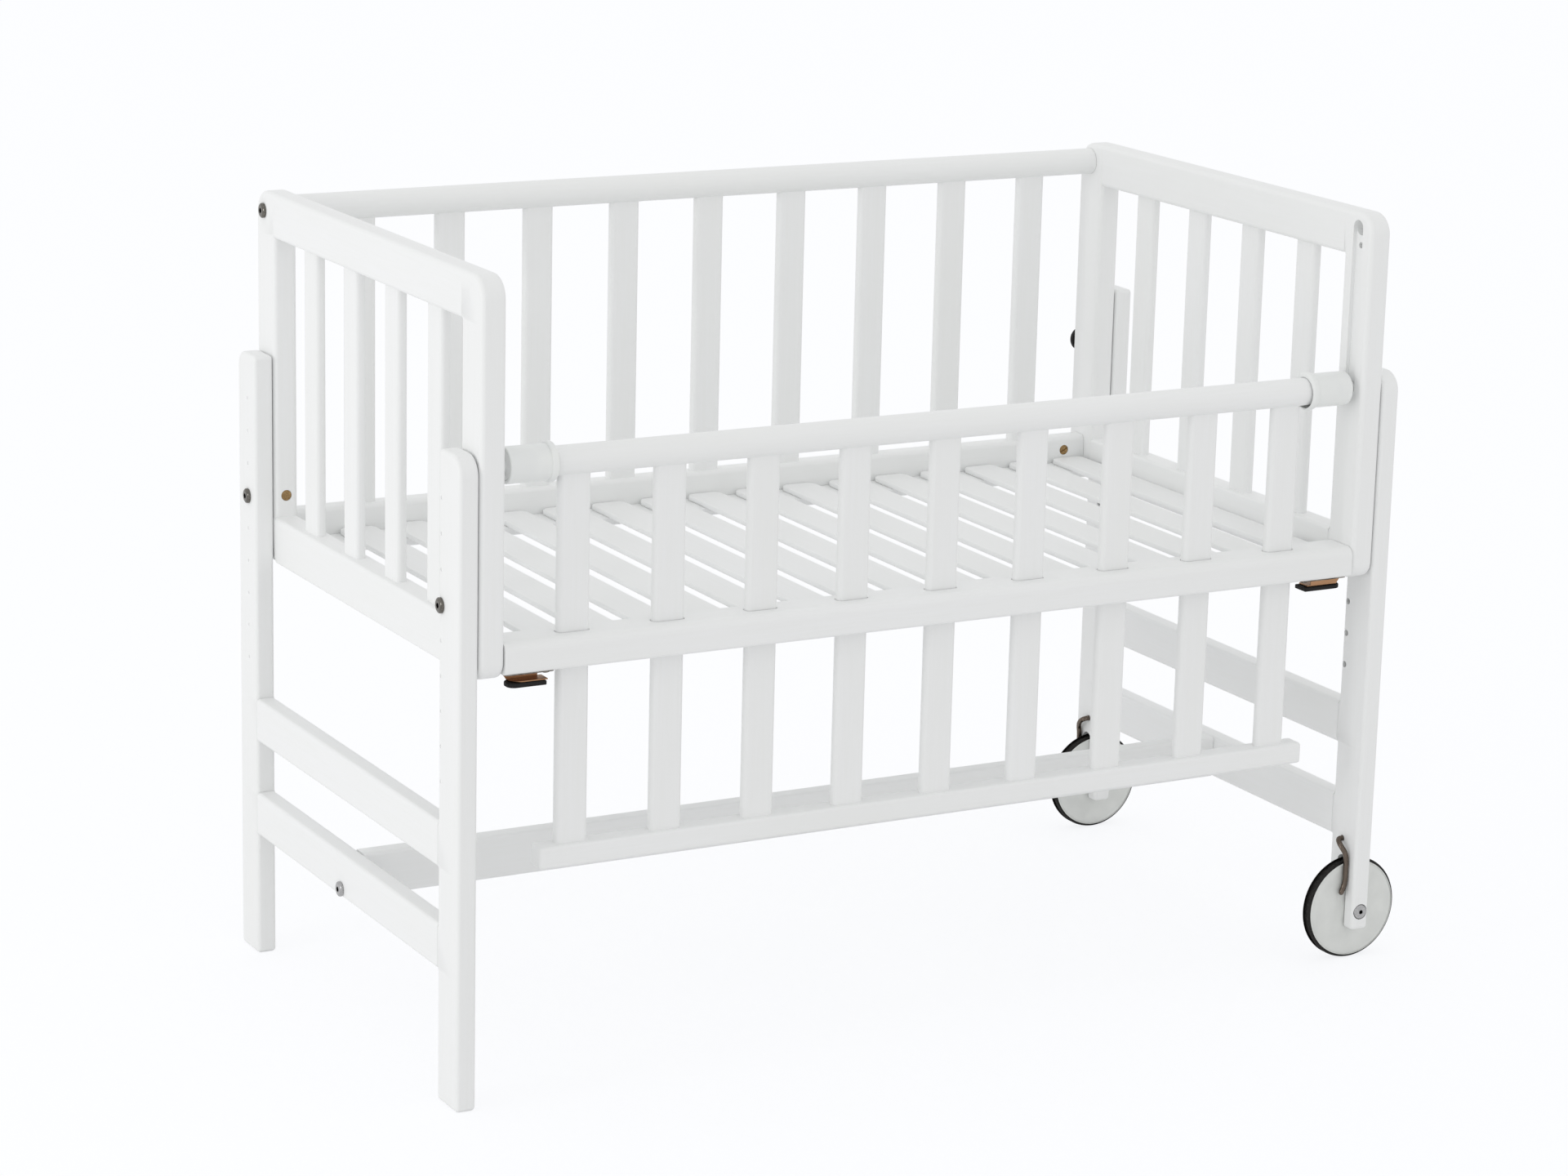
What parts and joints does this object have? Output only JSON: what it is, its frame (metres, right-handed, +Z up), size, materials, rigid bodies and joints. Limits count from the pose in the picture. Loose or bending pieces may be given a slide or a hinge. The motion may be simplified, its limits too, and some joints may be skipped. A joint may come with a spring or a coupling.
{
  "type": "bedside crib",
  "caption": "Small slatted bedside crib with a lowering gate on one long side, height-adjustable bolted leg frames, braked wheels at one end and swing-out brackets.",
  "frame": {"origin": "on the floor, under the middle of the crib's bounding box", "axes": "+X along the crib's length towards its wheels, -Y towards the sliding gate and the adult bed, +Z up"},
  "size_m": [0.9718, 0.4908, 0.705],
  "materials": {
    "white_painted_wood": "white satin lacquer on beech",
    "white_plastic": "moulded white plastic",
    "dark_steel": "dark zinc-plated steel",
    "zinc_steel": "bright zinc-plated steel",
    "bronzed_wire": "bronzed steel wire",
    "bronzed_strip": "copper-toned passivated steel strip",
    "black_rubber": "matt black rubber",
    "tyre_rubber": "matt black rubber"
  },
  "bodies": {
    "root": {"post_front_left": "white_painted_wood", "post_rear_left": "white_painted_wood", "post_front_right": "white_painted_wood", "post_rear_right": "white_painted_wood", "end_top_rail_left": "white_painted_wood", "end_grille_left": "white_painted_wood", "end_top_rail_right": "white_painted_wood", "end_grille_right": "white_painted_wood", "rear_top_rail": "white_painted_wood", "rear_grille": "white_painted_wood", "front_rail": "white_painted_wood", "slatted_base": "white_painted_wood", "leg_front_left": "white_painted_wood", "leg_rear_left": "white_painted_wood", "leg_front_right": "white_painted_wood", "leg_rear_right": "white_painted_wood", "leg_rail_upper_left": "white_painted_wood", "leg_rail_lower_left": "white_painted_wood", "leg_rail_upper_right": "white_painted_wood", "leg_rail_lower_right": "white_painted_wood", "stretcher": "white_painted_wood", "leg_bolt_front_left": "dark_steel", "leg_bolt_rear_left": "dark_steel", "leg_bolt_front_right": "dark_steel", "leg_bolt_rear_right": "dark_steel", "stretcher_bolt_left": "dark_steel", "rear_rail_bolt_left": "dark_steel", "stretcher_bolt_right": "dark_steel", "rear_rail_bolt_right": "dark_steel", "axle_screw_front": "zinc_steel", "axle_screw_rear": "zinc_steel", "bracket_plate_left": "dark_steel", "bracket_plate_right": "dark_steel", "bumper_left": "black_rubber", "bumper_right": "black_rubber"},
    "gate": {"gate_top_rail": "white_painted_wood", "gate_lath": "white_painted_wood", "gate_bar_1": "white_painted_wood", "gate_bar_2": "white_painted_wood", "gate_bar_3": "white_painted_wood", "gate_bar_4": "white_painted_wood", "gate_bar_5": "white_painted_wood", "gate_bar_6": "white_painted_wood", "gate_bar_7": "white_painted_wood", "gate_bar_8": "white_painted_wood", "gate_bar_9": "white_painted_wood", "sleeve_spring_left": "zinc_steel", "sleeve_spring_right": "zinc_steel"},
    "sleeve_left": {"gate_sleeve_left": "white_plastic"},
    "sleeve_right": {"gate_sleeve_right": "white_plastic"},
    "wheel_front": {"wheel_disc_front": "white_plastic", "tyre_front": "tyre_rubber"},
    "wheel_rear": {"wheel_disc_rear": "white_plastic", "tyre_rear": "tyre_rubber"},
    "brake_front": {"brake_wire_front": "bronzed_wire"},
    "brake_rear": {"brake_wire_rear": "bronzed_wire"},
    "bracket_left": {"bracket_arm_left": "bronzed_strip", "bracket_pad_left": "black_rubber"},
    "bracket_right": {"bracket_arm_right": "bronzed_strip", "bracket_pad_right": "black_rubber"}
  },
  "joints": [
    {"name": "gate_slide", "type": "slide", "parent": "root", "child": "gate", "axis": [0, 0, 1], "range_m": [0, 0.1294]},
    {"name": "sleeve_left_slide", "type": "slide", "parent": "gate", "child": "sleeve_left", "axis": [1, 0, 0], "range_m": [0, 0.005], "stiffness_N_per_m": 400, "springref_m": -0.004, "deforming": ["sleeve_spring_left"]},
    {"name": "sleeve_right_slide", "type": "slide", "parent": "gate", "child": "sleeve_right", "axis": [-1, 0, 0], "range_m": [0, 0.005], "stiffness_N_per_m": 400, "springref_m": -0.004, "deforming": ["sleeve_spring_right"]},
    {"name": "wheel_front_spin", "type": "hinge", "parent": "root", "child": "wheel_front", "pos_m": [0.4374, -0.2244, 0.0485], "axis": [0, 1, 0], "continuous": true},
    {"name": "wheel_rear_spin", "type": "hinge", "parent": "root", "child": "wheel_rear", "pos_m": [0.4374, 0.2196, 0.0485], "axis": [0, 1, 0], "continuous": true},
    {"name": "brake_front_swing", "type": "hinge", "parent": "root", "child": "brake_front", "pos_m": [0.4284, -0.2221, 0.1154], "axis": [-1, 0, 0], "range_deg": [0, 60]},
    {"name": "brake_rear_swing", "type": "hinge", "parent": "root", "child": "brake_rear", "pos_m": [0.4284, 0.2173, 0.1154], "axis": [1, 0, 0], "range_deg": [0, 60]},
    {"name": "bracket_left_swing", "type": "hinge", "parent": "root", "child": "bracket_left", "pos_m": [-0.3981, -0.2304, 0.3711], "axis": [0, 0, 1], "range_deg": [0, 90]},
    {"name": "bracket_right_swing", "type": "hinge", "parent": "root", "child": "bracket_right", "pos_m": [0.3619, -0.2304, 0.3711], "axis": [0, 0, -1], "range_deg": [0, 90]}
  ]
}
